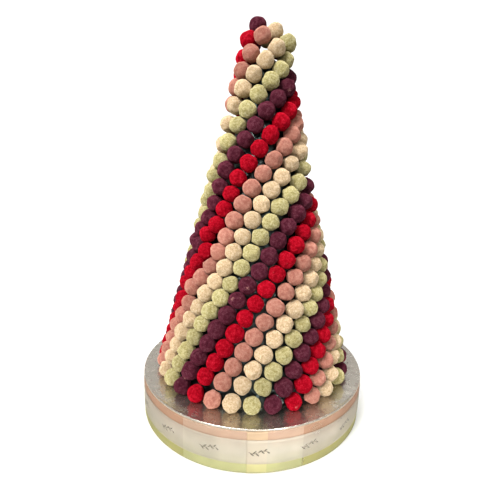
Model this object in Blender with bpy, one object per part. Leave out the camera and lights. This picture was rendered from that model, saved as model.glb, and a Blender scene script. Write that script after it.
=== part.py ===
"""A pyramid of rolled sweets on a foil-covered cake drum trimmed with three ribbons.

The sweets are pinned row upon row round a tall cone, each in the hollow between two
of the row below, so that five colours climb the heap in slanting stripes.  Lengths in
the named values are millimetres and the model is in metres, +Z up.  The origin is the
centre of the drum's underside and the front of the heap faces -Y.
"""
from math import atan, cos, hypot, pi, sin

import bmesh
import bpy
import numpy as np
from mathutils import Vector
from mathutils.geometry import delaunay_2d_cdt

MM = 0.001
GAP = 0.3                        # air left between pieces that touch

# Drum and ribbons
DRUM_RADIUS = 177.8              # a 14 inch round
DRUM_HEIGHT = 66.0
DRUM_ROUNDING = 1.5              # radius of the foil's fold over each edge
RIBBON_THICKNESS = 0.4
RING_SEGMENTS = 52
RIBBONS = (                      # name, height of the lower edge, width, layers beneath
    ("ribbon_pink", 39.0, 25.0, 0),
    ("ribbon_green", 0.8, 25.0, 0),
    ("ribbon_ivory", 15.0, 36.0, 1),
)

# Heap: the ring that the centres of the sweets lie on, at three heights above the drum
SWEET_DIAMETER = 24.7
SWEET_UNEVENNESS = 0.028         # spread of the diameters, as a fraction
SWEET_EXTREME = 0.06             # and the furthest that any strays
PROFILE_STEP = 250.0
RING_RADII = (148.4, 82.6, 24.0)
LEAN = (0.005, 0.008)            # drift of the cone's axis to +X and +Y, per mm of height
CONE_SLOPE = 0.267               # radius lost per mm of height
ROWS = 24
PHASE_START = 0.45               # part of a half row that keeps its spacing
HAND_SEED = 7

# Stations up the heap, with the rows between them in proportion.  The columns are the
# row, its height at the front, the spacing along it, how far it sinks at the right,
# how far it sinks at both sides, its shift along itself as a fraction of a sweet, and
# how far its right side is spread round the cone, in radians.
STATIONS = (
    (0, 15.0, 27.6, 5.0, 6.0, 0.06, 0.15),
    (6, 143.0, 26.5, 17.0, 9.0, 0.03, 0.10),
    (12, 276.0, 26.2, -1.0, 40.0, 0.14, -0.05),
    (16, 348.0, 34.6, -14.0, 10.0, -0.08, -0.05),
    (20, 413.0, 27.6, 12.0, -14.0, -0.26, 0.20),
    (23, 496.0, 21.8, 15.0, 21.0, 0.17, -0.05),
)
TIP = (                          # height, turn and distance from the axis of the last three
    (513.0, -2.22, 14.0),
    (510.0, 1.89, 13.0),
    (488.0, 1.50, 31.0),
)

# Settling: sweets that overlap are pushed apart along the cone
SETTLING_ROUNDS = 600
HOLDING_ROUNDS = 560
HOLD = 0.08                      # pull back to the planned place, at the front
HOLD_WIDTH = 1.4                 # half the width of the held front, in radians
PUSH = 0.45
NEIGHBOUR_REACH = 1.5            # search distance, in diameters

# Domes of the heap's solid
SPINE_TOP = 476.0                # the domes face away from the axis below this height
DOME_ANGLE = 0.78                # from a dome's top to its inner ring, in radians
DOME_CLEAR = 0.45                # and as much more where it looks straight up
HOLLOW_DEPTH = 0.28              # of the hollows between domes, in sweet radii
HOLLOW_LIFT = 0.5                # and as much less where they look straight up
MAP_SIZE = 1000.0

COLOURS = {                      # linear colour, metallic, roughness
    "cake_drum": ((0.58, 0.57, 0.54), 1.0, 0.25),
    "ribbon_pink": ((0.75, 0.42, 0.30), 0.0, 0.4),
    "ribbon_green": ((0.66, 0.66, 0.25), 0.0, 0.4),
    "ribbon_ivory": ((0.78, 0.73, 0.62), 0.0, 0.4),
    "sweets": ((0.60, 0.36, 0.26), 0.0, 0.8),
}


def ring_radius(height):
    """Radius of the ring of centres, on a parabola through the three named radii."""
    foot, middle, top = RING_RADII
    height = np.minimum(height, 2 * PROFILE_STEP)
    bend = (foot - 2 * middle + top) / (2 * PROFILE_STEP ** 2)
    slope = (middle - foot) / PROFILE_STEP - bend * PROFILE_STEP
    return foot + slope * height + bend * height ** 2


def planned_row(row):
    """The turn about the axis and the height of every sweet in one row."""
    rows = [station[0] for station in STATIONS]
    height, spacing, right, sides, phase, spread = (
        float(np.interp(row, rows, [station[column] for station in STATIONS]))
        for column in range(1, 7))
    turn = spacing / float(ring_radius(height))
    count = int(2 * pi / turn)
    first = int(np.ceil(-count / 2 - row / 2 - phase))
    placed = []
    for number in range(first, first + count):
        along = number + row / 2 + phase
        far = (abs(along) / (count / 2) - PHASE_START) / (1 - PHASE_START)
        far = min(max(far, 0.0), 1.0)
        blend = far * far * (3 - 2 * far)
        angle = turn * along + (pi - turn * count / 2) * blend * np.sign(along)
        angle += spread * max(sin(angle), 0.0) ** 2
        sunk = right * sin(angle) + sides * sin(angle) ** 2
        placed.append((row, angle, height - sunk))
    return placed


def on_the_cone(turn, height, radius):
    """Centres of the sweets, which all touch the core whatever their size."""
    out = ring_radius(height) + radius - SWEET_DIAMETER / 2
    out[-len(TIP):] = [distance for _, _, distance in TIP]
    x = out * np.sin(turn) + LEAN[0] * height
    y = -out * np.cos(turn) + LEAN[1] * height
    return np.stack([x, y, height], axis=1)


def settle(row, turn, height, radius):
    """Push overlapping sweets apart, holding the front to its plan while they move."""
    height = np.where(row == 0, radius, np.maximum(height, radius))
    home = on_the_cone(turn, height, radius)
    held = np.exp(-(turn / HOLD_WIDTH) ** 4)
    centre = home.copy()
    for step in range(SETTLING_ROUNDS):
        if step % 20 == 0:
            apart = np.linalg.norm(centre[None] - centre[:, None], axis=2)
            first, second = np.nonzero(np.triu(apart < NEIGHBOUR_REACH * SWEET_DIAMETER, 1))
        between = centre[second] - centre[first]
        distance = np.linalg.norm(between, axis=1)
        overlap = np.maximum(radius[first] + radius[second] - distance, 0)
        push = between * (PUSH * overlap / distance)[:, None]
        moved = np.zeros_like(centre)
        np.add.at(moved, first, -push)
        np.add.at(moved, second, push)
        hold = HOLD * max(0.0, 1 - step / HOLDING_ROUNDS)
        centre += moved + (home - centre) * (hold * held)[:, None]
        height = np.where(row == 0, radius, np.maximum(centre[:, 2], radius))
        x = centre[:, 0] - LEAN[0] * centre[:, 2]
        y = centre[:, 1] - LEAN[1] * centre[:, 2]
        turn = np.arctan2(x, -y)
        centre = on_the_cone(turn, height, radius)
    return turn, centre


def sweets():
    """Row, turn, radius and centre of every sweet, in millimetres above the drum."""
    placed = [sweet for row in range(ROWS) for sweet in planned_row(row)]
    placed += [(ROWS, turn, height) for height, turn, _ in TIP]
    row, turn, height = (np.array(column) for column in zip(*placed))
    uneven = np.random.default_rng(HAND_SEED).normal(0, SWEET_UNEVENNESS, len(row))
    radius = SWEET_DIAMETER / 2 * (1 + np.clip(uneven, -SWEET_EXTREME, SWEET_EXTREME))
    turn, centre = settle(row, turn, height, radius)
    return row, turn, radius, centre


def material(name):
    """A Principled finish in the piece's own colour."""
    colour, metallic, roughness = COLOURS[name]
    finish = bpy.data.materials.new(name)
    finish.use_nodes = True
    shader = finish.node_tree.nodes["Principled BSDF"]
    shader.inputs["Base Color"].default_value = (*colour, 1.0)
    shader.inputs["Metallic"].default_value = metallic
    shader.inputs["Roughness"].default_value = roughness
    return finish


def add_object(name, bm):
    """Turn a bmesh into a named object with its material."""
    bmesh.ops.recalc_face_normals(bm, faces=bm.faces)
    mesh = bpy.data.meshes.new(name)
    bm.to_mesh(mesh)
    bm.free()
    mesh.shade_smooth()
    mesh.set_sharp_from_angle(angle=pi / 3)
    mesh.materials.append(material(name))
    piece = bpy.data.objects.new(name, mesh)
    bpy.context.collection.objects.link(piece)
    return piece


def turned(profile):
    """Spin an outline of (radius, height) points once round the Z axis."""
    bm = bmesh.new()
    points = [bm.verts.new((radius * MM, 0, height * MM)) for radius, height in profile]
    for start, end in zip(points, points[1:] + points[:1]):
        bm.edges.new((start, end))
    bmesh.ops.spin(bm, geom=bm.verts[:] + bm.edges[:], cent=(0, 0, 0), axis=(0, 0, 1),
                   angle=2 * pi, steps=RING_SEGMENTS, use_merge=True)
    return bm


def make_drum():
    """The drum: one thick round board, its two edges rounded by the foil's fold."""
    bm = bmesh.new()
    bmesh.ops.create_cone(bm, cap_ends=True, segments=RING_SEGMENTS,
                          radius1=DRUM_RADIUS * MM, radius2=DRUM_RADIUS * MM,
                          depth=DRUM_HEIGHT * MM)
    bmesh.ops.translate(bm, verts=bm.verts, vec=(0, 0, DRUM_HEIGHT * MM / 2))
    edges = [edge for edge in bm.edges
             if abs(edge.verts[0].co.z - edge.verts[1].co.z) < MM * GAP]
    bmesh.ops.bevel(bm, geom=edges, offset=DRUM_ROUNDING * MM, segments=2, profile=0.5,
                    affect="EDGES", material=-1)
    return add_object("cake_drum", bm)


def make_ribbon(name, bottom, width, layers):
    """One band of ribbon wrapped round the drum, over any layers beneath it."""
    inner = DRUM_RADIUS + GAP + layers * (RIBBON_THICKNESS + GAP)
    outer = inner + RIBBON_THICKNESS
    top = bottom + width
    return add_object(name, turned([(inner, bottom), (outer, bottom),
                                    (outer, top), (inner, top)]))


def flat_map(turn, height):
    """Unroll the cone on to a disc that keeps every angle, the tip at its middle."""
    apex = 2 * PROFILE_STEP + RING_RADII[2] / CONE_SLOPE
    share = max(apex - height, 1.0) / apex
    out = MAP_SIZE * share ** (1 / sin(atan(CONE_SLOPE)))
    return Vector((out * sin(turn), -out * cos(turn)))


def outward(point):
    """Which way the heap's surface faces at a point, turning upward near the tip."""
    x = point.x - LEAN[0] * point.z
    y = point.y - LEAN[1] * point.z
    start = min(point.z - CONE_SLOPE * hypot(x, y), SPINE_TOP)
    return Vector((x, y, point.z - start)).normalized()


def sweets_net(row, turn, radius, centre):
    """Join neighbouring centres by triangles, with a ring of stand-ins below the foot."""
    foot = sorted(turn[row == 0])
    below = [(a + b) / 2 for a, b in zip(foot, foot[1:] + [foot[0] + 2 * pi])]
    spots = [flat_map(t, c[2]) for t, c in zip(turn, centre)]
    spots += [flat_map(t, -SWEET_DIAMETER / 2) for t in below]
    triangles = delaunay_2d_cdt(spots, [], [], 0, 1e-7)[2]
    ring = float(ring_radius(0))
    places = [Vector(c) for c in centre]
    places += [Vector((ring * sin(t), -ring * cos(t), -SWEET_DIAMETER / 2)) for t in below]
    bm = bmesh.new()
    verts = [bm.verts.new(place) for place in places]
    for triangle in triangles:
        bm.faces.new([verts[corner] for corner in triangle])
    return bm, verts[:len(centre)], verts[len(centre):]


def make_sweets():
    """The heap as one solid: a dome for every sweet and a hollow wherever three meet."""
    row, turn, radius, centre = sweets()
    bm, tops, below = sweets_net(row, turn, radius, centre)
    size = dict(zip(tops, radius.tolist()))
    links = [edge for edge in bm.edges if len(edge.link_faces) == 2]
    below_set = set(below)
    at_foot = [any(vert in below_set for vert in face.verts) for face in bm.faces]
    hollows = bmesh.ops.poke(bm, faces=bm.faces[:], center_mode="MEAN")["verts"]
    bmesh.ops.rotate_edges(bm, edges=links)
    for hollow, is_foot in zip(hollows, at_foot):
        if is_foot:
            hollow.co.z = GAP
        else:
            facing = outward(hollow.co)
            depth = HOLLOW_DEPTH - HOLLOW_LIFT * facing.z
            hollow.co -= facing * depth * SWEET_DIAMETER / 2
    bmesh.ops.delete(bm, geom=below, context="VERTS")
    spokes = [edge for edge in bm.edges
              if (edge.verts[0] in size) != (edge.verts[1] in size)]
    inner_ring = []
    for spoke in spokes:
        top, hollow = sorted(spoke.verts, key=lambda vert: vert not in size)
        facing = outward(top.co)
        across = hollow.co - top.co
        across -= facing * across.dot(facing)
        across.normalize()
        vert = bmesh.utils.edge_split(spoke, top, 0.5)[1]
        angle = DOME_ANGLE + DOME_CLEAR * facing.z
        vert.co = top.co + size[top] * (cos(angle) * facing + sin(angle) * across)
        vert.co.z = max(vert.co.z, GAP)
        inner_ring.append(vert)
    bmesh.ops.connect_verts(bm, verts=inner_ring)
    for top in tops:
        top.co += outward(top.co) * size[top]
    rim = [edge for edge in bm.edges if edge.is_boundary]
    bmesh.ops.holes_fill(bm, edges=rim, sides=0)
    bmesh.ops.scale(bm, verts=bm.verts, vec=(MM, MM, MM))
    bmesh.ops.translate(bm, verts=bm.verts, vec=(0, 0, DRUM_HEIGHT * MM))
    return add_object("sweets", bm)


def clear_scene():
    """Start from an empty scene."""
    for thing in list(bpy.data.objects):
        bpy.data.objects.remove(thing, do_unlink=True)


def main():
    clear_scene()
    make_drum()
    for ribbon in RIBBONS:
        make_ribbon(*ribbon)
    make_sweets()


main()
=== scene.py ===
# %% [markdown]
# # A pyramid of rolled sweets on a cake drum
#
# The real thing is a tall cone wrapped in silver foil.  About 445 hand-rolled sweets are
# pinned to it, row upon row, so that five colours climb it in slanting stripes.  It stands
# on a thick round board, a cake drum, covered with silver foil and trimmed with three
# ribbons.
#
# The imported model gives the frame: the drum, three ribbon bands and the heap as one
# solid.  This script keeps their sizes and replaces each with a finished piece.

# %% Load the frame and measure it
from math import cos, degrees, pi, radians, sin

import bmesh
import bpy
import numpy as np
from mathutils import Matrix, Vector


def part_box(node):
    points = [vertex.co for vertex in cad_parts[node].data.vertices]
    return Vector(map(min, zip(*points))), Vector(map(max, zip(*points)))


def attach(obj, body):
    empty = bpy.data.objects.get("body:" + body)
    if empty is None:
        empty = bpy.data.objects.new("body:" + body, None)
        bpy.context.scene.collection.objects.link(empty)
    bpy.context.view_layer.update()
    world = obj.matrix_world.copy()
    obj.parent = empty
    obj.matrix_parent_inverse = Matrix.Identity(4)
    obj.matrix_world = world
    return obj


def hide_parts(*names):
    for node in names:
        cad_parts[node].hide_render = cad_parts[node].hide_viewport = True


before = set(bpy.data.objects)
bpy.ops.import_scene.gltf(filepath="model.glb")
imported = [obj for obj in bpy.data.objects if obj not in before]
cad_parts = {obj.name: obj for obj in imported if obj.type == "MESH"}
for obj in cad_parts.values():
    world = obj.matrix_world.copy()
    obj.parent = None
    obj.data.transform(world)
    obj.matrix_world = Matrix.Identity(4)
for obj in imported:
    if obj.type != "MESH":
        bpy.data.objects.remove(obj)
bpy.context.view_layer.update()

MM = 0.001
drum_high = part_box("cake_drum")[1]
DRUM_RADIUS = drum_high.x / MM
DRUM_TOP = drum_high.z / MM
print(f"drum: radius {DRUM_RADIUS:.1f} mm, {DRUM_TOP:.1f} mm thick")

# %% [markdown]
# ## The camera comes first
#
# Everything is judged through the camera, so it is made before the pieces.  It stands
# close, with a wide lens, and looks down a little.  It is held slightly askew, which a
# roll about its own axis gives, and a small lens shift sets the object off centre.

# %% Camera
CAMERA_PLACE = (4.1, -618.3, 417.1)      # mm, in the drum's frame
CAMERA_PITCH = 13.59                     # degrees below level
CAMERA_ROLL = 2.1                        # degrees about its own axis
FIELD_OF_VIEW = 63.9                     # degrees
SENSOR_WIDTH = 36.0                      # mm
CAMERA_SHIFT = (-0.019, -0.013)          # of the frame's width

camera = bpy.data.objects.new("camera", bpy.data.cameras.new("camera"))
camera.data.sensor_width = SENSOR_WIDTH
camera.data.angle = radians(FIELD_OF_VIEW)
camera.data.shift_x, camera.data.shift_y = CAMERA_SHIFT
camera.matrix_world = (Matrix.Translation(Vector(CAMERA_PLACE) * MM)
                       @ Matrix.Rotation(radians(90 - CAMERA_PITCH), 4, "X")
                       @ Matrix.Rotation(radians(CAMERA_ROLL), 4, "Z"))
bpy.context.collection.objects.link(camera)
bpy.context.scene.camera = camera
print(f"camera: {camera.data.lens:.1f} mm lens, {CAMERA_PITCH} degrees down")

# %% [markdown]
# ## Helpers for every material
#
# A colour is easiest to name as the sRGB code of a paint chart, but shaders count in
# linear light, so one function turns one into the other.  Another adds a node, with its
# settings and what is plugged into it, so that a material reads as a short recipe.  The
# last two turn a real size into a texture's scale, and start a material.

# %% Material helpers
def linear(code):
    """The linear colour of an sRGB hex code."""
    parts = [int(code[start:start + 2], 16) / 255 for start in (1, 3, 5)]
    return (*[c / 12.92 if c <= 0.04045 else ((c + 0.055) / 1.055) ** 2.4
              for c in parts], 1.0)


def add(tree, kind, plugs=None, **settings):
    """Add a node.  Each plug is an input's name or number with a value or a socket."""
    made = tree.nodes.new(kind)
    for name, value in settings.items():
        setattr(made, name, value)
    for name, value in (plugs or {}).items():
        if isinstance(value, bpy.types.NodeSocket):
            tree.links.new(value, made.inputs[name])
        else:
            made.inputs[name].default_value = value
    return made


def per_mm(size):
    """The texture scale that gives marks of a size in millimetres."""
    return 1 / (size * MM)


def new_material(name):
    """A material with an empty tree, its output and its Principled shader."""
    made = bpy.data.materials.new(name)
    made.use_nodes = True
    made.node_tree.nodes.clear()
    shader = add(made.node_tree, "ShaderNodeBsdfPrincipled")
    add(made.node_tree, "ShaderNodeOutputMaterial", {"Surface": shader.outputs[0]})
    return made, made.node_tree, shader


print("mid grey is", round(linear("#808080")[0], 3), "in linear light")

# %% [markdown]
# ## Floor and light
#
# Every sweet is brightest at its upper left and falls off to the lower right, softly,
# with black gaps between them.  So the main light is a wide soft one, high up to the
# left.  A sun lamp with a wide disc is used, as it lights the floor evenly too.  Weaker
# ones fill in from the front and the back.  A wide spot lamp, faded to nothing at its edge
# and aimed at the tip, makes the upper rows as bright as the lower ones, which the pale
# floor lights as well.  The world fills the shadows, from above only: a white world below
# would light the sweets from underneath and take their roundness away.  A last spot, low
# in front and flattened to a strip, lights the ribbons alone, so that the satin is bright
# where it faces the viewer and dims round the sides.

# %% Floor
FLOOR_SIZE = 1.3                          # m

bm = bmesh.new()
bmesh.ops.create_grid(bm, x_segments=1, y_segments=1, size=FLOOR_SIZE / 2)
floor_mesh = bpy.data.meshes.new("floor")
bm.to_mesh(floor_mesh)
bm.free()
floor = bpy.data.objects.new("floor", floor_mesh)
bpy.context.collection.objects.link(floor)
paper, tree, shader = new_material("matt pale paper")      # no gloss: it only scatters light
shader.inputs["Base Color"].default_value = linear("#ededeb")
shader.inputs["Roughness"].default_value = 0.9
shader.inputs["Specular IOR Level"].default_value = 0.1
floor_mesh.materials.append(paper)
print(f"floor: {FLOOR_SIZE} m of {paper.name}")

# %% World
SKY_LIGHT = 0.45                          # strength from above
GROUND_LIGHT = 0.05                       # and from below
HORIZON = (-0.15, 0.25)                   # one turns into the other between these heights

world = bpy.data.worlds.new("white surroundings")
world.use_nodes = True
world.node_tree.nodes.clear()
seen = add(world.node_tree, "ShaderNodeLightPath")
way = add(world.node_tree, "ShaderNodeSeparateXYZ",
          {0: add(world.node_tree, "ShaderNodeTexCoord").outputs["Generated"]})
light = add(world.node_tree, "ShaderNodeMapRange",
            {0: way.outputs["Z"], 1: HORIZON[0], 2: HORIZON[1], 3: GROUND_LIGHT, 4: SKY_LIGHT})
strength = add(world.node_tree, "ShaderNodeMapRange",
               {0: seen.outputs["Is Camera Ray"], 3: light.outputs[0], 4: 1.0})
sky = add(world.node_tree, "ShaderNodeBackground",
          {"Color": (1, 1, 1, 1), "Strength": strength.outputs[0]})
add(world.node_tree, "ShaderNodeOutputWorld", {"Surface": sky.outputs[0]})
bpy.context.scene.world = world
bpy.context.scene.view_settings.view_transform = "Standard"
bpy.context.scene.view_settings.look = "Medium High Contrast"
print(f"world: {SKY_LIGHT} from above, {GROUND_LIGHT} from below")

# %% Sun lamps
SUNS = {       # strength in W/m2, degrees round and up, width of its disc in degrees
    "high light": (1.80, -38.0, 56.0, 34.0),
    "front light": (0.5, 8.0, 28.0, 20.0),
    "back light": (1.3, 175.0, 66.0, 30.0),
}
for name, (power, round_to, up, wide) in SUNS.items():
    lamp = bpy.data.objects.new(name, bpy.data.lights.new(name, "SUN"))
    lamp.data.energy = power
    lamp.data.angle = radians(wide)
    lamp.rotation_euler = (radians(90 - up), 0, radians(round_to))
    bpy.context.collection.objects.link(lamp)
    print(f"{name}: {power} W/m2 from {round_to:.0f} degrees round, {up:.0f} up")

# %% Spot lamps
DRUM_FRONT = (0.0, -DRUM_RADIUS * MM, DRUM_TOP / 2 * MM)
ABOVE_THE_TIP = (0.0, 0.0, 0.62)
SPOTS = {      # power in W, place and aim in m, degrees wide, softness of its edge, size in m
    "top light": (300.0, (-0.95, -1.25, 1.75), ABOVE_THE_TIP, 26.0, 1.0, 0.45),
    "strip light": (90.0, (0.61, -1.37, 0.16), DRUM_FRONT, 17.5, 0.5, 0.05),
}
STRIP_SHARE = 0.16                        # the strip's height as a share of its width

for name, (power, place, aim, wide, blend, size) in SPOTS.items():
    lamp = bpy.data.objects.new(name, bpy.data.lights.new(name, "SPOT"))
    lamp.data.energy = power
    lamp.data.spot_size = radians(wide)
    lamp.data.spot_blend = blend
    lamp.data.shadow_soft_size = size
    lamp.location = place
    lamp.rotation_euler = (Vector(aim) - Vector(place)).to_track_quat("-Z", "Y").to_euler()
    bpy.context.collection.objects.link(lamp)
    print(f"{name}: {power:.0f} W, {wide} degrees wide")
lamp.data.use_square = True               # the last one is the strip
lamp.scale.y = STRIP_SHARE

# %% [markdown]
# ## Where every sweet sits
#
# The maker pins the sweets row upon row, each in the hollow between two of the row
# below.  The colours run plum, red, pink, cream, green along a row, so they climb in
# stripes.  A physics run could drop the sweets into place, but it would give a loose
# heap, not rows.  So each row is worked out, and not quite level, because hands aren't:
# six stations up the heap give height and spacing.  Then sweets that overlap are pushed
# apart until they just touch.  This is the rule that shaped the heap's solid, with the
# same numbers, so the sweets land where its domes are.

# %% Measures of the heap
SWEET_DIAMETER = 24.7                    # mm, as every length here
SWEET_UNEVENNESS = 0.028                 # spread of the diameters, as a share
SWEET_EXTREME = 0.06                     # and the most that one may differ
PROFILE_STEP = 250.0
RING_RADII = (148.4, 82.6, 24.0)         # at heights 0, 1 and 2 steps
LEAN = (0.005, 0.008)                    # sideways per mm of height
ROWS = 24
PHASE_START = 0.45                       # share of a half row that keeps its spacing
HAND_SEED = 7
STATIONS = (   # row, height, spacing, sinking to the right, at the sides, phase, spread
    (0, 15.0, 27.6, 5.0, 6.0, 0.06, 0.15),
    (6, 143.0, 26.5, 17.0, 9.0, 0.03, 0.10),
    (12, 276.0, 26.2, -1.0, 40.0, 0.14, -0.05),
    (16, 348.0, 34.6, -14.0, 10.0, -0.08, -0.05),
    (20, 413.0, 27.6, 12.0, -14.0, -0.26, 0.20),
    (23, 496.0, 21.8, 15.0, 21.0, 0.17, -0.05),
)
TIP = (                                   # height, turn, distance out and colour number
    (513.0, -2.22, 14.0, 1),
    (510.0, 1.89, 13.0, 4),
    (488.0, 1.50, 31.0, 0),
)
COLOURS = ("green", "plum", "red", "pink", "cream")
print(f"{ROWS} rows of sweets {SWEET_DIAMETER} mm across")

# %% Rows before settling
def ring_radius(height):
    """Radius of the ring of centres, on a parabola through the three named radii."""
    foot, half_way, top = RING_RADII
    height = np.minimum(height, 2 * PROFILE_STEP)
    bend = (foot - 2 * half_way + top) / (2 * PROFILE_STEP ** 2)
    slope = (half_way - foot) / PROFILE_STEP - bend * PROFILE_STEP
    return foot + slope * height + bend * height ** 2


def planned_row(row):
    """The row, turn, height and stripe number of every sweet in one row."""
    rows = [station[0] for station in STATIONS]
    height, spacing, right, sides, phase, spread = (
        float(np.interp(row, rows, [station[column] for station in STATIONS]))
        for column in range(1, 7))
    turn = spacing / float(ring_radius(height))
    count = int(2 * pi / turn)
    first = int(np.ceil(-count / 2 - row / 2 - phase))
    placed = []
    for number in range(first, first + count):
        along = number + row / 2 + phase
        far = (abs(along) / (count / 2) - PHASE_START) / (1 - PHASE_START)
        far = min(max(far, 0.0), 1.0)
        blend = far * far * (3 - 2 * far)
        angle = turn * along + (pi - turn * count / 2) * blend * np.sign(along)
        angle += spread * max(sin(angle), 0.0) ** 2
        sunk = right * sin(angle) + sides * sin(angle) ** 2
        placed.append((row, angle, height - sunk, number))
    return placed


placed = [sweet for row in range(ROWS) for sweet in planned_row(row)]
placed += [(ROWS, turn, height, number) for height, turn, _, number in TIP]
print(f"{len(placed)} sweets are planned, {len(planned_row(0))} of them in the lowest row")

# %% Centres and neighbours
def on_the_cone(turn, height, radius):
    """Centres of the sweets, which all touch the core whatever their size."""
    out = ring_radius(height) + radius - SWEET_DIAMETER / 2
    out[-len(TIP):] = [distance for _, _, distance, _ in TIP]
    x = out * np.sin(turn) + LEAN[0] * height
    y = -out * np.cos(turn) + LEAN[1] * height
    return np.stack([x, y, height], axis=1)


def close_pairs(centre, reach):
    """Numbers of every two sweets that are nearer than the reach."""
    apart = np.linalg.norm(centre[None] - centre[:, None], axis=2)
    return np.nonzero(np.triu(apart < reach, 1))


print(f"the lowest ring of centres is {2 * float(ring_radius(0)):.0f} mm across")

# %% Settling
SETTLING_ROUNDS = 600
HOLDING_ROUNDS = 560                      # the hold fades away over these
HOLD = 0.08                               # share of the way back to the plan, each round
HOLD_WIDTH = 1.4                          # radians from the front that are held
PUSH = 0.45                               # share of an overlap taken up by each sweet
NEIGHBOUR_REACH = 1.5                     # diameters
LIST_LIFE = 20                            # rounds before the neighbours are listed anew


def settle(row, turn, height, radius):
    """Push overlapping sweets apart, holding the front to its plan while they move."""
    height = np.where(row == 0, radius, np.maximum(height, radius))
    home = on_the_cone(turn, height, radius)
    held = np.exp(-(turn / HOLD_WIDTH) ** 4)
    centre = home.copy()
    for step in range(SETTLING_ROUNDS):
        if step % LIST_LIFE == 0:
            first, second = close_pairs(centre, NEIGHBOUR_REACH * SWEET_DIAMETER)
        between = centre[second] - centre[first]
        distance = np.linalg.norm(between, axis=1)
        overlap = np.maximum(radius[first] + radius[second] - distance, 0)
        push = between * (PUSH * overlap / distance)[:, None]
        moved = np.zeros_like(centre)
        np.add.at(moved, first, -push)
        np.add.at(moved, second, push)
        hold = HOLD * max(0.0, 1 - step / HOLDING_ROUNDS)
        centre += moved + (home - centre) * (hold * held)[:, None]
        height = np.where(row == 0, radius, np.maximum(centre[:, 2], radius))
        x = centre[:, 0] - LEAN[0] * centre[:, 2]
        y = centre[:, 1] - LEAN[1] * centre[:, 2]
        turn = np.arctan2(x, -y)
        centre = on_the_cone(turn, height, radius)
    return turn, centre


sweet_row, turn, height, stripe = (np.array(column) for column in zip(*placed))
uneven = np.random.default_rng(HAND_SEED).normal(0, SWEET_UNEVENNESS, len(sweet_row))
sweet_radius = SWEET_DIAMETER / 2 * (1 + np.clip(uneven, -SWEET_EXTREME, SWEET_EXTREME))
sweet_turn, sweet_centre = settle(sweet_row, turn, height, sweet_radius)
sweet_centre[:, 2] += DRUM_TOP
print(f"{len(sweet_row)} sweets in {ROWS} rows, topmost at {sweet_centre[:, 2].max():.0f} mm")

# %% [markdown]
# ## The shape of one sweet
#
# A ball rolled between two palms isn't a sphere: it keeps a few soft flats where it was
# pressed or lay, its coat is lumpy, and now and then a wet fingertip pulls up a point or
# leaves a dent.  One sweet could be sculpted and copied, but the eye finds copies at
# once, so each is shaped by its own random numbers.  A sphere's mesh is the start.
# Each of its vertices is then moved along its own ray to the nearest of several soft
# walls: a round one, a dozen random flats, and one towards each neighbour.  A sweet that
# bulges past the room it has is pressed flat there, with a narrow gap left.

# %% Ball
BALL_SUBDIVISIONS = 4                     # 1280 faces: they are what the eye is on

bm = bmesh.new()
bmesh.ops.create_icosphere(bm, subdivisions=BALL_SUBDIVISIONS, radius=1.0)
ball = bpy.data.meshes.new("ball")
bm.to_mesh(ball)
bm.free()
ball_rays = np.array([vert.co.normalized() for vert in ball.vertices])
print(f"ball: {len(ball.vertices)} vertices, {len(ball.polygons)} faces")

# %% Shape functions
FLAT_SOFTNESS = 38                        # of a wall's edge: higher is crisper
WALL_SOFTNESS = 45
TOUCH_GAP = 0.28                          # mm kept off the wall between two neighbours
WAVES = 22                                # that add up to one relief
WAVE_SPREAD = (0.7, 1.3)                  # of their lengths round the named size
SHAKEN = 0.22                             # of the even directions, in ball radii


def spread(count, rng):
    """Directions spread evenly over a ball, then shaken and turned at random."""
    step = np.arange(count) + 0.5
    lift = 1 - 2 * step / count
    angle = step * pi * (1 + 5 ** 0.5) + rng.uniform(0, 2 * pi)
    flat = np.sqrt(1 - lift ** 2)
    found = np.stack([flat * np.cos(angle), flat * np.sin(angle), lift], axis=1)
    found += rng.normal(0, SHAKEN, found.shape)
    found = found @ np.array(Matrix.Rotation(rng.uniform(0, pi), 3, Vector(rng.normal(size=3))))
    return found / np.linalg.norm(found, axis=1)[:, None]


def relief(rays, size, rng):
    """Smooth random height at each ray: waves of about one size, in ball radii."""
    way = rng.normal(size=(WAVES, 3))
    number = 2 * pi / size * rng.uniform(*WAVE_SPREAD, WAVES)
    way *= (number / np.linalg.norm(way, axis=1))[:, None]
    phase = rng.uniform(0, 2 * pi, WAVES)
    return np.sin(rays @ way.T + phase).sum(axis=1) / (WAVES / 2) ** 0.5


def nearest_wall(rays, reach, ways, distances, softness):
    """Shorten each ray's reach where it would pass through one of the flat walls."""
    meet = np.maximum(rays @ ways.T, 0) / distances
    return (reach ** -softness + (meet ** softness).sum(axis=1)) ** (-1 / softness)


def bump_at(rays, way, width):
    """A round hump of height 1 about a direction, its width in radians."""
    angle = np.arccos(np.clip(rays @ way, -1, 1))
    return np.exp(-(angle / width) ** 2)


print("relief runs to", round(float(relief(ball_rays, 1, np.random.default_rng(0)).max()), 1))

# %% [markdown]
# ## Five kinds of sweet, five pieces
#
# The kinds differ in more than colour.  Cream and green have a thick crust that cracks
# and wrinkles, red is rough, and pink and plum are smoother.  Some plum and red ones
# are scuffed, so the pale filling shows.  Each kind is one joined mesh.  Two numbers
# are stored on every vertex for the material: the sweet's own tone, because no two have
# quite the same amount of powder, and how scuffed it is there.

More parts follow.
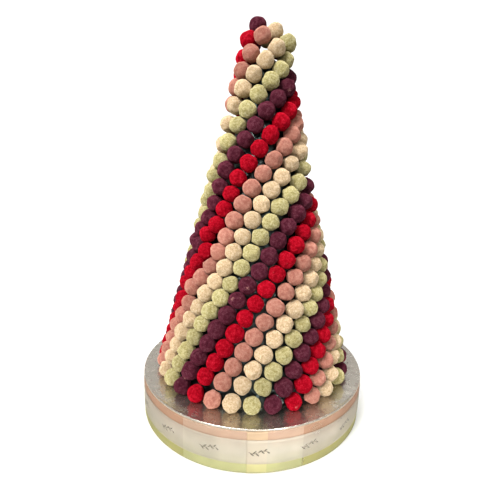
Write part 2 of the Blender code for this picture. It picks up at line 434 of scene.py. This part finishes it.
# %% Kinds of sweet
KINDS = {      # lumps, flats and crust relief, in ball radii; share with a point, dent, scuff
    "green": (0.016, 0.110, 0.012, 0.14, 0.10, 0.00),
    "plum": (0.014, 0.120, 0.005, 0.06, 0.10, 0.35),
    "red": (0.014, 0.110, 0.007, 0.12, 0.08, 0.12),
    "pink": (0.012, 0.110, 0.005, 0.06, 0.06, 0.00),
    "cream": (0.016, 0.115, 0.011, 0.20, 0.14, 0.00),
}
SHAPE_SEED, TONE_SEED = 1000, 5000
FLATS = 13
ROLLED_OUT = 1.05                         # radius before the flats are pressed
LUMP_SIZE, CRUST_SIZE, CRACK_SIZE = 2.0, 0.55, 0.9                 # in ball radii
SCUFF_WIDTH = 0.28
MARK_SCUFF, MARK_SCUFF_WIDTH = 1.1, 0.504
RANDOM_POINT, RANDOM_DENT = (0.11, 0.20), (-0.07, 0.30)            # height and width
POINT, DENT, HOLE = (0.12, 0.20), (-0.08, 0.30), (-0.11, 0.13)     # of the placed ones
MARKS = {      # by row and stripe: turn and lift of the mark from straight out, degrees
    (6, -4): (-20, 25, "scuff"), (7, -4): (10, 0, "scuff"), (21, -9): (-40, -20, "scuff"),
    (1, -4): (5, -35, "scuff"), (0, 2): (0, -10, "scuff"), (13, -6): (-15, 10, DENT),
    (9, -6): (-45, 35, POINT), (21, -10): (-35, -20, HOLE), (2, -1): (20, -10, DENT),
    (12, -2): (40, 10, POINT), (4, 0): (-30, 40, POINT), (16, -8): (25, 20, DENT),
}
print(f"{len(KINDS)} kinds, {len(MARKS)} sweets with a mark of their own")

# %% Walls and marks of one sweet
WALL_REACH = 1.25                         # diameters to the sweets that press on one

pair_a, pair_b = close_pairs(sweet_centre, WALL_REACH * SWEET_DIAMETER)
print(f"{len(pair_a)} pairs of neighbours")


def walls_round(number):
    """Directions and distances of the walls towards a sweet's neighbours and the drum."""
    others = np.concatenate([pair_b[pair_a == number], pair_a[pair_b == number]])
    between = sweet_centre[others] - sweet_centre[number]
    apart = np.linalg.norm(between, axis=1)
    share = sweet_radius[number] / (sweet_radius[number] + sweet_radius[others])
    ways = np.vstack([between / apart[:, None], [(0, 0, -1)]])
    above = sweet_centre[number][2] - DRUM_TOP
    return ways, np.append(apart * share, above) - TOUCH_GAP


def mark_way(number, turn, lift):
    """Direction of a mark, its turn and lift measured from straight out of the heap."""
    turn = radians(turn) + sweet_turn[number]
    lift = radians(lift)
    return np.array([sin(turn) * cos(lift), -cos(turn) * cos(lift), sin(lift)])

# %% Shape of one sweet
def rolled(number, kind):
    """Vertex places, in mm, of one sweet, and how scuffed it is at each."""
    rng = np.random.default_rng(SHAPE_SEED + number)
    lumps, flats, crust, pointed, dented, scuffed = KINDS[kind]
    lumps_here = lumps * rng.uniform(0.6, 1.5)
    reach = ROLLED_OUT + lumps_here * relief(ball_rays, LUMP_SIZE, rng)
    depth = 1 - flats * rng.uniform(0, 1, FLATS)
    reach = nearest_wall(ball_rays, reach, spread(FLATS, rng), depth, FLAT_SOFTNESS)
    reach += crust * relief(ball_rays, CRUST_SIZE, rng)
    reach -= crust * np.abs(relief(ball_rays, CRACK_SIZE, rng))
    reach /= reach.mean()
    for share, (high, width) in ((pointed, RANDOM_POINT), (dented, RANDOM_DENT)):
        if rng.uniform() < share:
            reach += high * bump_at(ball_rays, spread(1, rng)[0], width)
    scuff = np.zeros(len(ball_rays))
    if rng.uniform() < scuffed:
        for way in spread(2, rng):
            scuff += bump_at(ball_rays, way, SCUFF_WIDTH)
    place = (int(sweet_row[number]), int(stripe[number]))
    if place in MARKS:
        turn, lift, mark = MARKS[place]
        way = mark_way(number, turn, lift)
        if mark == "scuff":
            scuff += MARK_SCUFF * bump_at(ball_rays, way, MARK_SCUFF_WIDTH)
        else:
            reach += mark[0] * bump_at(ball_rays, way, mark[1])
    ways, distances = walls_round(number)
    reach = nearest_wall(ball_rays, reach * sweet_radius[number], ways, distances, WALL_SOFTNESS)
    return sweet_centre[number] + ball_rays * reach[:, None], scuff


print("a sweet is", np.round(np.ptp(rolled(0, "plum")[0], axis=0), 1), "mm across")

# %% From mesh to piece
def finish_piece(name, mesh, finish, slot, *nodes):
    """Link a finished mesh as a piece of the object, standing for some CAD nodes."""
    mesh.materials.append(finish)
    mesh.shade_smooth()
    piece = bpy.data.objects.new(name, mesh)
    bpy.context.collection.objects.link(piece)
    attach(piece, "root")
    if nodes:
        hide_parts(*nodes)
    return piece


def make_sweets(kind, finish):
    """All the sweets of one kind as one piece."""
    bm = bmesh.new()
    tones = []
    scuffs = []
    for number in np.nonzero(stripe % len(COLOURS) == COLOURS.index(kind))[0]:
        place, scuff = rolled(number, kind)
        ball.vertices.foreach_set("co", (place * MM).astype(np.float32).ravel())
        bm.from_mesh(ball)
        tone = np.random.default_rng(TONE_SEED + number).normal(0, 0.5)
        tones.append(np.full(len(place), np.clip(tone, -1, 1)))
        scuffs.append(scuff)
    mesh = bpy.data.meshes.new(f"sweets_{kind}")
    bm.to_mesh(mesh)
    bm.free()
    for name, values in (("tone", tones), ("scuff", scuffs)):
        stored = mesh.attributes.new(name, "FLOAT", "POINT")
        stored.data.foreach_set("value", np.concatenate(values).astype(np.float32))
    piece = finish_piece(f"sweets_{kind}", mesh, finish, "sweet_coating", "sweets")
    print(f"{piece.name}: {len(tones)} sweets, {len(mesh.polygons)} triangles")

# %% [markdown]
# ## Powder coats
#
# The sweets are rolled in fruit powder, milk powder or ground pistachio.  Powder has
# almost no mirror reflection and scatters light back at glancing angles, which gives a
# flat disc with a pale rim: full roughness, hardly any specular, and a little sheen.
# The colour breaks into darker and lighter patches a few millimetres wide, with a finer
# grain over them, and the crust is raised by bump where it is finer than the mesh.  Real
# powder is finer than a millimetre, so its grain is drawn coarser than it is, to show.

# %% Powder material
RAMP_FROM, RAMP_TO = 0.35, 0.65           # noise that gives the dark and the pale colour
TONE_SWING = 0.12                         # how much brighter or darker a sweet may be
SPECK_SPACING = 7.0                       # mm
SPECK_EDGE = (0.06, 0.10)                 # shares of the spacing, from centre to rim
FLAKE = 2.2                               # mm, the torn bits of a scuff
BARE_FROM, BARE_TO = 0.46, 0.66           # from coated to bare
CRACK = 2.0                               # mm, from crack to crack in the crust
DUST = 0.10                               # mm, how far a grain stands out
FILLING = "#c9998d"                       # pale pink ganache under the coat


def powder(name, dark, base, pale, patch, grain, crust_height, speck, sheen):
    """A coat of dry powder.  Patch and grain are sizes and the crust a height, in mm."""
    made, tree, shader = new_material(name)
    place = add(tree, "ShaderNodeTexCoord").outputs["Object"]
    patches = add(tree, "ShaderNodeTexNoise",
                  {"Vector": place, "Scale": per_mm(patch), "Detail": 3.0})
    grains = add(tree, "ShaderNodeTexNoise",
                 {"Vector": place, "Scale": per_mm(grain), "Detail": 2.0})
    mixed = add(tree, "ShaderNodeMath",
                {0: patches.outputs["Fac"], 1: grains.outputs["Fac"]}, operation="ADD")
    ramp = add(tree, "ShaderNodeValToRGB",
               {0: add(tree, "ShaderNodeMath", {0: mixed.outputs[0], 1: 0.5},
                       operation="MULTIPLY").outputs[0]})
    ramp.color_ramp.elements[0].position = RAMP_FROM
    ramp.color_ramp.elements[0].color = linear(dark)
    ramp.color_ramp.elements[1].position = RAMP_TO
    ramp.color_ramp.elements[1].color = linear(pale)
    ramp.color_ramp.elements.new(0.5).color = linear(base)
    tone = add(tree, "ShaderNodeAttribute", attribute_name="tone")
    level = add(tree, "ShaderNodeMapRange",
                {0: tone.outputs["Fac"], 1: -1.0, 2: 1.0,
                 3: 1 - TONE_SWING, 4: 1 + TONE_SWING})
    toned = add(tree, "ShaderNodeMix",
                {"Factor": 1.0, "A": ramp.outputs[0], "B": level.outputs[0]},
                data_type="RGBA", blend_type="MULTIPLY")
    colour = toned.outputs["Result"]
    if speck:
        dots = add(tree, "ShaderNodeTexVoronoi", {"Vector": place, "Scale": per_mm(SPECK_SPACING)})
        share = add(tree, "ShaderNodeMapRange",
                    {0: dots.outputs["Distance"], 1: SPECK_EDGE[0], 2: SPECK_EDGE[1],
                     3: 0.8, 4: 0.0})
        colour = add(tree, "ShaderNodeMix",
                     {"Factor": share.outputs[0], "A": colour, "B": linear(speck)},
                     data_type="RGBA").outputs["Result"]
    scuff = add(tree, "ShaderNodeAttribute", attribute_name="scuff")
    flakes = add(tree, "ShaderNodeTexNoise",
                 {"Vector": place, "Scale": per_mm(FLAKE), "Detail": 4.0, "Roughness": 0.7})
    bare = add(tree, "ShaderNodeMath",
               {0: scuff.outputs["Fac"], 1: flakes.outputs["Fac"]}, operation="MULTIPLY")
    bare = add(tree, "ShaderNodeMapRange",
               {0: bare.outputs[0], 1: BARE_FROM, 2: BARE_TO, 4: 0.7})
    colour = add(tree, "ShaderNodeMix",
                 {"Factor": bare.outputs[0], "A": colour, "B": linear(FILLING)},
                 data_type="RGBA").outputs["Result"]
    tree.links.new(colour, shader.inputs["Base Color"])
    cracks = add(tree, "ShaderNodeTexNoise",
                 {"Vector": place, "Scale": per_mm(CRACK), "Detail": 4.0, "Roughness": 0.65},
                 noise_type="RIDGED_MULTIFRACTAL", normalize=True)
    crust = add(tree, "ShaderNodeBump",
                {"Strength": 1.0, "Distance": crust_height * MM, "Height": cracks.outputs["Fac"]})
    dust = add(tree, "ShaderNodeBump",
               {"Strength": 1.0, "Distance": DUST * MM, "Height": grains.outputs["Fac"],
                "Normal": crust.outputs[0]})
    tree.links.new(dust.outputs[0], shader.inputs["Normal"])
    shader.inputs["Roughness"].default_value = 0.95
    shader.inputs["Diffuse Roughness"].default_value = 1.0
    shader.inputs["Specular IOR Level"].default_value = 0.05
    shader.inputs["Sheen Weight"].default_value = sheen
    shader.inputs["Sheen Roughness"].default_value = 0.4
    shader.inputs["Sheen Tint"].default_value = linear(pale)
    return made

# %% Coat the sweets
POWDERS = {      # name, dark, base and pale colours, patch, grain, crust, speck, sheen
    "green": ("ground pistachio", "#8f8650", "#b3a97c", "#ccc6a2",
              2.8, 1.0, 0.80, "#6d6a3a", 0.25),
    "plum": ("blackcurrant powder", "#481d2a", "#5d2a38", "#754752",
             4.5, 0.9, 0.50, None, 0.20),
    "red": ("raspberry powder", "#820617", "#a60d25", "#c22a3e",
            3.6, 1.0, 0.70, None, 0.10),
    "pink": ("strawberry powder", "#9e675b", "#b27e6e", "#c39788",
             4.2, 0.9, 0.45, "#a25a48", 0.25),
    "cream": ("milk powder on white chocolate", "#b09874", "#cbb494", "#dfd0b5",
              2.8, 1.0, 0.80, None, 0.25),
}
for kind in COLOURS:
    make_sweets(kind, powder(*POWDERS[kind]))

# %% [markdown]
# ## Silver foil
#
# Cake-board foil is thin aluminium on paper, pressed on by hand.  It mirrors, but
# blurs, and it is full of small dents and creases that catch the light.  To model them
# all would take millions of faces.  So the drum's foil has its slow dents in the mesh,
# where they bend the reflections, and the finer ones in its bump.  Its side, under the
# ribbons, is rubbed smooth and dull.  It carries a clear lacquer that scatters a little,
# so it isn't wholly metallic.  Bare kitchen foil wraps the core; it is given a dark grey,
# darker than bare foil, as painted shade for the deep gaps.

# %% Foil material
RUBBED = 0.1                              # share of the dents left on the drum's side
SIDE_FROM, SIDE_TO = 5.0, 1.0             # mm below the drum's top where the side ends
SIDE_DULLNESS = 0.4                       # roughness that the rubbed side gains
RIDGE_WIDTH = 0.12                        # share of a crease's spacing


def foil(name, colour, roughness, dent, dent_height, crease, crease_height, metallic):
    """Aluminium foil: dents and creases have a size and a height, in mm."""
    made, tree, shader = new_material(name)
    place = add(tree, "ShaderNodeTexCoord").outputs["Object"]
    dents = add(tree, "ShaderNodeTexNoise",
                {"Vector": place, "Scale": per_mm(dent), "Detail": 3.0})
    lines = add(tree, "ShaderNodeTexVoronoi", {"Vector": place, "Scale": per_mm(crease)},
                feature="DISTANCE_TO_EDGE")
    ridge = add(tree, "ShaderNodeMapRange",
                {0: lines.outputs["Distance"], 1: 0.0, 2: RIDGE_WIDTH, 3: 1.0, 4: 0.0})
    lift = add(tree, "ShaderNodeSeparateXYZ", {0: place})
    smoothed = add(tree, "ShaderNodeMapRange",
                   {0: lift.outputs["Z"], 1: (DRUM_TOP - SIDE_FROM) * MM,
                    2: (DRUM_TOP - SIDE_TO) * MM, 3: RUBBED})
    low = add(tree, "ShaderNodeBump", {"Strength": smoothed.outputs[0],
                                       "Distance": dent_height * MM,
                                       "Height": dents.outputs["Fac"]})
    high = add(tree, "ShaderNodeBump", {"Strength": smoothed.outputs[0],
                                        "Distance": crease_height * MM,
                                        "Height": ridge.outputs[0], "Normal": low.outputs[0]})
    dull = add(tree, "ShaderNodeMapRange",
               {0: dents.outputs["Fac"], 1: 0.3, 2: 0.7, 3: roughness * 0.85, 4: roughness * 1.2})
    rubbed = add(tree, "ShaderNodeMath",
                 {0: smoothed.outputs[0], 1: -SIDE_DULLNESS, 2: SIDE_DULLNESS},
                 operation="MULTIPLY_ADD")
    gloss = add(tree, "ShaderNodeMath", {0: dull.outputs[0], 1: rubbed.outputs[0]},
                operation="ADD")
    tree.links.new(high.outputs[0], shader.inputs["Normal"])
    tree.links.new(gloss.outputs[0], shader.inputs["Roughness"])
    shader.inputs["Base Color"].default_value = linear(colour)
    shader.inputs["Metallic"].default_value = metallic
    return made


board_foil = foil("cake board foil", "#cfc8bc", 0.25, 9.0, 0.5, 26.0, 0.03, 0.92)
# The core's foil colour is a dark grey, darker than bare foil: painted shade for the deep gaps
# between the sweets.
shaded_core_foil = foil("crinkled kitchen foil", "#555e5c", 0.34, 6.0, 1.2, 9.0, 0.3, 1.0)
print("foils:", board_foil.name, "and", shaded_core_foil.name)

# %% [markdown]
# ## The core
#
# Under the sweets is a cone wrapped in kitchen foil, which shows only as grey glints deep
# in the gaps.  Its foil is coloured dark grey, a painted shade that keeps the gaps dark.
# A plain cone would glint evenly, as foil never does.  So an outline is spun
# once round, just inside the inner side of the sweets, and every vertex is then pushed in
# by two sizes of crumple.

# %% Spinning an outline
def turned(profile, steps):
    """Spin an outline of (radius, height) points, in mm, once round the Z axis."""
    bm = bmesh.new()
    points = [bm.verts.new((radius * MM, 0, height * MM)) for radius, height in profile]
    for start, end in zip(points, points[1:]):
        bm.edges.new((start, end))
    bmesh.ops.spin(bm, geom=bm.verts[:] + bm.edges[:], cent=(0, 0, 0), axis=(0, 0, 1),
                   angle=2 * pi, steps=steps, use_merge=True)
    bmesh.ops.remove_doubles(bm, verts=bm.verts, dist=0.001 * MM)
    bmesh.ops.recalc_face_normals(bm, faces=bm.faces)
    return bm

# %% Foil-wrapped core
CORE_CLEARANCE = 0.5                     # mm between the foil and a perfect ball
CORE_TOP = 470.0                         # mm above the drum
CORE_CAP = 4.0                           # mm that its blunt end rises
CORE_STEPS = 96
CORE_RINGS = 110
CRUMPLE = 0.8                            # mm
BIG_CRUMPLE, SMALL_CRUMPLE = 17.0, 8.0   # mm from one to the next
CORE_SEED = 31

heights = np.linspace(0, CORE_TOP, CORE_RINGS)
profile = [(0, DRUM_TOP + CORE_CLEARANCE)]
profile += [(float(ring_radius(height)) - SWEET_DIAMETER / 2 - CORE_CLEARANCE,
             DRUM_TOP + CORE_CLEARANCE + height) for height in heights]
profile.append((0, DRUM_TOP + CORE_TOP + CORE_CAP))
bm = turned(profile, CORE_STEPS)
rng = np.random.default_rng(CORE_SEED)
places = np.array([vert.co for vert in bm.verts]) / MM
crumple = -np.abs(relief(places, BIG_CRUMPLE, rng))
crumple -= 0.5 * np.abs(relief(places, SMALL_CRUMPLE, rng))
for vert, depth in zip(bm.verts, crumple):
    across = Vector((vert.co.x, vert.co.y, 0))
    vert.co += across.normalized() * float(depth) * CRUMPLE * MM
    vert.co.x += LEAN[0] * (vert.co.z - DRUM_TOP * MM)
    vert.co.y += LEAN[1] * (vert.co.z - DRUM_TOP * MM)
mesh = bpy.data.meshes.new("foil_core")
bm.to_mesh(mesh)
bm.free()
finish_piece("foil_core", mesh, shaded_core_foil, "silver_foil", "sweets")
print(f"foil_core: {len(mesh.polygons)} faces")

# %% [markdown]
# ## The cake drum
#
# The board's outline is spun too: flat underneath, a straight side, and at the top a soft
# fold that stands a little proud, where the foil was turned over the edge.  The top gets
# many rings, because slow dents are pressed into its mesh, not only into its bump.

# %% Outline of the drum
FOLD = 1.5                               # radius of the fold under the edge
LIP = 0.3                                # how far the folded edge stands proud
INSET = 0.35                             # of the side, which leaves room for the ribbons
SUNK = 0.3                               # of the top below the fold
UNDERSIDE_HOLLOW = 0.6
inner_rings = np.linspace(0, 118, 7)[1:]                     # hidden under the sweets
outer_rings = np.linspace(122, DRUM_RADIUS - 2.6, 38)        # in view
side = DRUM_RADIUS - INSET

profile = [(0, UNDERSIDE_HOLLOW)] + [(radius, UNDERSIDE_HOLLOW) for radius in inner_rings]
profile += [(DRUM_RADIUS - 4, 0.0), (DRUM_RADIUS - FOLD, 0.0), (side, FOLD)]
profile += [(side, height) for height in np.linspace(8, DRUM_TOP - 6, 6)]
profile += [(side + 0.1, DRUM_TOP - 2.0), (side + LIP / 2, DRUM_TOP - 1.0)]
profile += [(side - 0.2, DRUM_TOP - 0.1), (side - 1.0, DRUM_TOP + 0.1)]
profile.append((side - 1.7, DRUM_TOP - 0.2))
profile += [(radius, DRUM_TOP - SUNK) for radius in outer_rings[::-1]]
profile += [(radius, DRUM_TOP - SUNK) for radius in inner_rings[::-1]]
profile.append((0, DRUM_TOP - SUNK))
print(f"drum outline: {len(profile)} points")

# %% Foil-covered drum
DRUM_STEPS = 480
SLOW_DENT, QUICK_DENT = 42.0, 15.0       # mm from one to the next
SLOW_DEPTH, QUICK_DEPTH = 0.12, 0.05     # mm
HIGHEST = 0.25                           # mm that a dent's rim may rise
DRUM_SEED = 12

bm = turned(profile, DRUM_STEPS)
places = np.array([vert.co for vert in bm.verts]) / MM
rng = np.random.default_rng(DRUM_SEED)
slow = relief(places, SLOW_DENT, rng)
quick = relief(places, QUICK_DENT, rng)
for vert, a, b in zip(bm.verts, slow, quick):
    if vert.co.z > (DRUM_TOP - 1) * MM:
        vert.co.z += min(SLOW_DEPTH * float(a) + QUICK_DEPTH * float(b), HIGHEST) * MM
mesh = bpy.data.meshes.new("drum_foil")
bm.to_mesh(mesh)
bm.free()
finish_piece("drum_foil", mesh, board_foil, "silver_foil", "cake_drum")
print(f"drum_foil: {len(mesh.polygons)} faces")

# %% [markdown]
# ## Crumbs
#
# A few crumbs of the dark coat lie on the foil round the foot.  Nobody sees their shape,
# so each is the smallest icosphere, squashed and turned at random, and all are one mesh.

# %% Crumbs on the foil
CRUMBS = 70
CRUMB_RADII = (0.25, 0.8)                # mm
CRUMB_RING = (161, 13)                   # mm from the axis, and how far further out
CRUMB_SEED = 44

rng = np.random.default_rng(CRUMB_SEED)
bm = bmesh.new()
for _ in range(CRUMBS):
    size = rng.uniform(*CRUMB_RADII) * MM
    around = rng.uniform(0, 2 * pi)
    out = (CRUMB_RING[0] + CRUMB_RING[1] * rng.uniform(0, 1) ** 2) * MM
    place = Matrix.Translation((out * sin(around), -out * cos(around),
                                DRUM_TOP * MM + 0.5 * size))
    turned_to = Matrix.Rotation(rng.uniform(0, 2 * pi), 4, "Z")
    squash = Matrix.Diagonal((1.0, rng.uniform(0.6, 1.0), rng.uniform(0.4, 0.8), 1.0))
    bmesh.ops.create_icosphere(bm, subdivisions=1, radius=size,
                               matrix=place @ turned_to @ squash)
mesh = bpy.data.meshes.new("crumbs")
bm.to_mesh(mesh)
bm.free()
finish_piece("crumbs", mesh, bpy.data.materials["blackcurrant powder"], "sweet_coating")
print(f"crumbs: {CRUMBS} crumbs, {len(mesh.polygons)} faces")

# %% [markdown]
# ## Three sheer ribbons
#
# Each ribbon is cut a little longer than the drum's girth, wound once round, and its
# outer end is stuck down over its inner end at the front.  It is sheer, so the foil
# greys it and a ribbon beneath tints it.  Its colour is painted paler along the front
# length, a painted highlight, and darker round the sides and back, a painted shade; the
# end that lies double is paler still.  A cloth simulation could lay it, but it is
# stretched tight and has no folds.  So a flat grid is bent round the drum, with the woven
# cloth laid flat as its UV map, and Solidify gives it a thickness.

# %% Lengths of a ribbon
OVERLAP_START = 9.0                      # degrees round from the front: the inner end
OVERLAP_END = -1.0                       # and the outer end
PAINTED_SHADE_FROM, PAINTED_SHADE_TO = 0.105, 0.930        # shares of the length between which painted shade lies; the front outside them is painted paler, as painted light
JOINT_FROM = 0.973                       # the end that lies double
LAYER = 0.3                              # mm from one layer to the next

ribbon_sweep = radians(360 + OVERLAP_START - OVERLAP_END)
print(f"each ribbon goes {degrees(ribbon_sweep):.0f} degrees round the drum")

# %% [markdown]
# The ivory ribbon is printed with a small leafy sprig, drawn from its UV map.  It is a
# list of ellipses: short ones in a row make the wavy stem, and one on each side in turn
# makes a leaf.  A place's distance from an ellipse is 1 on its rim and less inside, and
# where the least of these distances is small the cloth is inked.

# %% Leafy sprig
IVORY_WIDTH = 36.0                       # mm, as are the measures of the sprig
SPRIGS = 16.395                          # along the whole cut length
SPRIG_START = 0.334                      # share of a sprig that the cut end leaves out
SPRIG_PITCH = 70.5
SPRIG_LENGTH = 26.0
STEM_SWAY = 2.0
STEM_OVERLAP = 0.56                      # half a stroke, as a share of the leaves' spacing
STEM_WIDTH = 0.45                        # half of it, as the leaf's length and width are
LEAVES = 7
LEAF_LENGTH = 2.9
LEAF_WIDTH = 0.95
LEAF_TILT = 0.75                         # radians
LEAF_FIRST, LEAF_SHRINK = 1.15, 0.5      # shares of the length: the first, and lost by the last
INK = 0.85                               # how much of the cloth's colour it hides
INK_FULL, INK_NONE = 0.7, 1.2            # distances from an ellipse


def sprig_strokes():
    """The ellipses of one sprig: its place, tilt, half the length and half the width."""
    strokes = []
    for number in range(LEAVES):
        at = SPRIG_LENGTH * ((number + 0.5) / LEAVES - 0.5)
        sway = STEM_SWAY * sin(2 * pi * at / SPRIG_LENGTH)
        slope = STEM_SWAY * 2 * pi / SPRIG_LENGTH * cos(2 * pi * at / SPRIG_LENGTH)
        strokes.append((at, sway, slope, STEM_OVERLAP * SPRIG_LENGTH / LEAVES, STEM_WIDTH))
        tilt = LEAF_TILT if number % 2 else -LEAF_TILT
        length = LEAF_LENGTH * (LEAF_FIRST - LEAF_SHRINK * number / LEAVES)
        strokes.append((at + length * cos(tilt), sway + length * sin(tilt), tilt,
                        length, LEAF_WIDTH))
    return strokes


def sprig(tree, cloth):
    """Where the ribbon is printed: a leafy sprig, repeated along the cloth."""
    repeat = add(tree, "ShaderNodeMapping", {"Vector": cloth, "Location": (SPRIG_START, 0, 0),
                                             "Scale": (SPRIGS, 1, 1)})
    share = add(tree, "ShaderNodeVectorMath", {0: repeat.outputs[0]}, operation="FRACTION")
    place = add(tree, "ShaderNodeMapping",
                {"Vector": share.outputs[0], "Scale": (-SPRIG_PITCH, IVORY_WIDTH, 0),
                 "Location": (SPRIG_PITCH / 2, -IVORY_WIDTH / 2, 0)})
    nearest = 2.0
    for x, y, tilt, length, width in sprig_strokes():
        inside = add(tree, "ShaderNodeMapping",
                     {"Vector": place.outputs[0], "Location": (x, y, 0),
                      "Rotation": (0, 0, tilt), "Scale": (length, width, 1)},
                     vector_type="TEXTURE")
        out = add(tree, "ShaderNodeVectorMath", {0: inside.outputs[0]}, operation="LENGTH")
        nearest = add(tree, "ShaderNodeMath", {0: nearest, 1: out.outputs["Value"]},
                      operation="MINIMUM").outputs[0]
    return add(tree, "ShaderNodeMapRange",
               {0: nearest, 1: INK_FULL, 2: INK_NONE, 3: INK, 4: 0.0}).outputs[0]


print(f"a sprig is {len(sprig_strokes())} ellipses, printed every {SPRIG_PITCH:.0f} mm")

# %% [markdown]
# The satin shines along its threads.  Real threads are far finer than a millimetre, so
# they are drawn about 1.4 mm apart, or they wouldn't show.  Half of the light goes
# through the cloth, and a dense selvedge runs along both edges.

# %% Sheer satin
THREADS = 260.0                          # wave scale over the length, about 1.4 mm apart
THREAD_DEPTH = 0.05                      # mm
CLOUD = 45.0                             # mm, of the slow paler and darker places
SELVEDGE_FROM, SELVEDGE_TO = 0.475, 0.485    # shares of the width from its middle
SATIN_ROUGHNESS = 0.62
SATIN_METALLIC = 0.5                     # for the lustre, with a tinted reflection
SATIN_STRETCH = 0.4                      # of the reflection, across the threads


def satin(name, front, shaded_rest, joint, alpha, print_colour=None):
    """Sheer satin: a front painted paler as painted light and the remainder as painted shade,
    threads across, a dense selvedge, sometimes a print.
    """
    made, tree, shader = new_material(name)
    cloth = add(tree, "ShaderNodeUVMap", uv_map="cloth").outputs[0]
    split = add(tree, "ShaderNodeSeparateXYZ", {0: cloth})
    threads = add(tree, "ShaderNodeTexWave", {"Vector": cloth, "Scale": THREADS,
                                              "Distortion": 0.4}, bands_direction="X")
    # Along the cloth: the front length is painted paler, a painted highlight, the length round the
    # sides and back is painted shade, and the end that lies double is paler still.
    lengths = add(tree, "ShaderNodeValToRGB", {0: split.outputs["X"]})
    lengths.color_ramp.interpolation = "CONSTANT"
    lengths.color_ramp.elements[0].color = linear(front)
    lengths.color_ramp.elements[1].position = JOINT_FROM
    lengths.color_ramp.elements[1].color = linear(joint)
    lengths.color_ramp.elements.new(PAINTED_SHADE_FROM).color = linear(shaded_rest)
    lengths.color_ramp.elements.new(PAINTED_SHADE_TO).color = linear(front)
    place = add(tree, "ShaderNodeTexCoord").outputs["Object"]
    clouds = add(tree, "ShaderNodeTexNoise",
                 {"Vector": place, "Scale": per_mm(CLOUD), "Detail": 2.0})
    level = add(tree, "ShaderNodeMapRange",
                {0: clouds.outputs["Fac"], 1: 0.35, 2: 0.65, 3: 0.90, 4: 1.05})
    mixed = add(tree, "ShaderNodeMix",
                {"Factor": 1.0, "A": lengths.outputs[0], "B": level.outputs[0]},
                data_type="RGBA", blend_type="MULTIPLY")
    centre = add(tree, "ShaderNodeMath", {0: split.outputs["Y"], 1: 0.5},
                 operation="SUBTRACT")
    away = add(tree, "ShaderNodeMath", {0: centre.outputs[0]}, operation="ABSOLUTE")
    selvedge = add(tree, "ShaderNodeMapRange",
                   {0: away.outputs[0], 1: SELVEDGE_FROM, 2: SELVEDGE_TO, 4: 0.8})
    colour = add(tree, "ShaderNodeMix",
                 {"Factor": selvedge.outputs[0], "A": mixed.outputs["Result"],
                  "B": linear(joint)}, data_type="RGBA")
    colour = colour.outputs["Result"]
    if print_colour:
        colour = add(tree, "ShaderNodeMix",
                     {"Factor": sprig(tree, cloth), "A": colour, "B": linear(print_colour)},
                     data_type="RGBA").outputs["Result"]
    tree.links.new(colour, shader.inputs["Base Color"])
    weave = add(tree, "ShaderNodeBump", {"Strength": 0.4, "Distance": THREAD_DEPTH * MM,
                                         "Height": threads.outputs["Fac"]})
    tree.links.new(weave.outputs[0], shader.inputs["Normal"])
    tangent = add(tree, "ShaderNodeTangent", direction_type="UV_MAP", uv_map="cloth")
    tree.links.new(tangent.outputs[0], shader.inputs["Tangent"])
    shader.inputs["Alpha"].default_value = alpha
    shader.inputs["Metallic"].default_value = SATIN_METALLIC
    shader.inputs["Roughness"].default_value = SATIN_ROUGHNESS
    shader.inputs["Anisotropic"].default_value = SATIN_STRETCH
    return made


# Colours: the front (painted highlight), the remainder (painted shade), the double end, then the
# alpha.
pink_satin = satin("sheer pink satin", "#d2b49d", "#c39c81", "#dfc7a7", 0.50)
green_satin = satin("sheer green satin", "#c7c794", "#b7b377", "#d6d09f", 0.50)
ivory_satin = satin("sheer ivory satin", "#d0c9b9", "#c9c1b2", "#d6ccba", 0.42, "#544a34")
print(f"ribbons: {pink_satin.name}, {green_satin.name} and {ivory_satin.name}")

# %% [markdown]
# A band goes round from its inner end to its outer end, which climbs over the inner one
# where they meet.  The pink and the green lie on the foil, and the ivory over the edges
# of both.  The edges sway a little, as they were laid by hand.

# %% Winding the ribbons
RIBBON_THICKNESS = 0.22                  # mm
FIRST_GAP = 0.35                         # mm from the drum's radius to the first layer
CLIMB_FROM, CLIMB = 338, 12              # 360ths of the length: where the climb starts,
                                         # and how long it takes
SLOW_SWAY, QUICK_SWAY = 0.25, 0.15       # mm, in three and in seven waves round
ROUND, ACROSS = 480, 8                   # faces of the band


def wind(name, layers, finish, slot):
    """Wind a strip of ribbon round the drum, as wide as its CAD node is high."""
    low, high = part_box(name)
    width = (high.z - low.z) / MM
    inner = DRUM_RADIUS + FIRST_GAP + layers * (2 * LAYER + 0.1)
    bm = bmesh.new()
    bmesh.ops.create_grid(bm, x_segments=ROUND, y_segments=ACROSS, size=0.5)
    cloth = bm.loops.layers.uv.new("cloth")
    for face in bm.faces:
        for loop in face.loops:
            loop[cloth].uv = (loop.vert.co.x + 0.5, loop.vert.co.y + 0.5)
    for vert in bm.verts:
        along, up = vert.co.x + 0.5, vert.co.y + 0.5
        angle = radians(OVERLAP_START) - ribbon_sweep * along
        lift = min(max((along * 360 - CLIMB_FROM) / CLIMB, 0.0), 1.0)
        radius = inner + LAYER * lift
        sway = SLOW_SWAY * sin(3 * angle + layers) + QUICK_SWAY * sin(7 * angle + 2 * layers)
        place = Vector((radius * sin(angle), -radius * cos(angle),
                        low.z / MM + up * width + sway))
        vert.co = place * MM
    bmesh.ops.recalc_face_normals(bm, faces=bm.faces)
    mesh = bpy.data.meshes.new(f"{name}_band")
    bm.to_mesh(mesh)
    bm.free()
    band = finish_piece(f"{name}_band", mesh, finish, slot, name)
    solid = band.modifiers.new("thickness", "SOLIDIFY")
    solid.thickness = RIBBON_THICKNESS * MM
    solid.offset = 1.0


wind("ribbon_pink", 0, pink_satin, "ribbon_pink")
wind("ribbon_green", 0, green_satin, "ribbon_green")
wind("ribbon_ivory", 1, ivory_satin, "ribbon_ivory")
